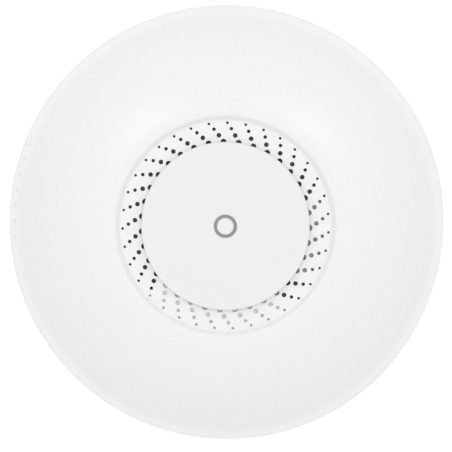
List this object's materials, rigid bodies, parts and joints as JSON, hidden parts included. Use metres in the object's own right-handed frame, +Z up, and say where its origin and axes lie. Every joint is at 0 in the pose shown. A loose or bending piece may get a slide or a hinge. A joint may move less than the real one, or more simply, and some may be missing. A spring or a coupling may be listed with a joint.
{
  "type": "ceiling access point",
  "caption": "Round dish-shaped ceiling wireless access point with a sunken perforated vent ring, centre disc with ring light, and twist-on mounting ring.",
  "frame": {"origin": "centre of the mounting ring's flat back face, which lies on the ceiling", "axes": "+Z up into the ceiling; the unit hangs towards -Z; the cable well lies towards +Y and the status windows towards -X"},
  "size_m": [0.28, 0.28, 0.047],
  "materials": {
    "white_gloss": "smooth satin gloss",
    "white_satin": "fine satin",
    "light_guide": "grey translucent",
    "clear_frosted": "frosted",
    "grey_plastic": "satin",
    "black_plastic": "satin",
    "circuit_board": "solder mask",
    "thermal_pad": "soft matte",
    "aluminium": "brushed",
    "tinned_steel": "bright tin",
    "screw_steel": "zinc",
    "brass": "plain"
  },
  "bodies": {
    "ring": {"mounting_ring": "white_satin"},
    "unit": {"rear_housing": "white_satin", "front_cover": "white_gloss", "centre_cap": "white_satin", "light_ring": "light_guide", "light_ring_hub": "white_satin", "led_board": "circuit_board", "status_light_pipe": "clear_frosted", "status_led_board": "circuit_board", "main_board": "circuit_board", "shield_can_1": "tinned_steel", "shield_can_2": "tinned_steel", "shield_can_3": "tinned_steel", "thermal_pad_1": "thermal_pad", "thermal_pad_2": "thermal_pad", "thermal_pad_3": "thermal_pad", "heat_spreader": "aluminium", "antenna_frame": "black_plastic", "standoff_1": "brass", "standoff_2": "brass", "standoff_3": "brass", "ethernet_jack_1": "black_plastic", "ethernet_jack_2": "black_plastic", "antenna_bracket_1": "black_plastic", "antenna_bracket_2": "black_plastic", "antenna_bracket_3": "black_plastic", "antenna_bracket_4": "black_plastic", "antenna_1": "tinned_steel", "antenna_2": "tinned_steel", "antenna_3": "tinned_steel", "antenna_4": "tinned_steel", "antenna_lead_1": "black_plastic", "antenna_lead_2": "black_plastic", "antenna_lead_3": "black_plastic", "antenna_lead_4": "black_plastic", "reset_switch": "black_plastic", "cover_screw_1": "screw_steel", "cover_screw_2": "screw_steel", "cover_screw_3": "screw_steel", "cover_screw_4": "screw_steel", "board_screw_1": "screw_steel", "board_screw_2": "screw_steel", "board_screw_3": "screw_steel", "board_screw_4": "screw_steel", "spreader_screw_1": "screw_steel", "spreader_screw_2": "screw_steel", "spreader_screw_3": "screw_steel"},
    "button": {"reset_button": "grey_plastic"}
  },
  "joints": [
    {"name": "bayonet_twist", "type": "hinge", "parent": "ring", "child": "unit", "pos_m": [0, 0, 0], "axis": [0, 0, 1], "range_deg": [-25, 0]},
    {"name": "reset_press", "type": "slide", "parent": "unit", "child": "button", "axis": [0, 0, -1], "range_m": [0, 0.001], "stiffness_N_per_m": 1500}
  ]
}
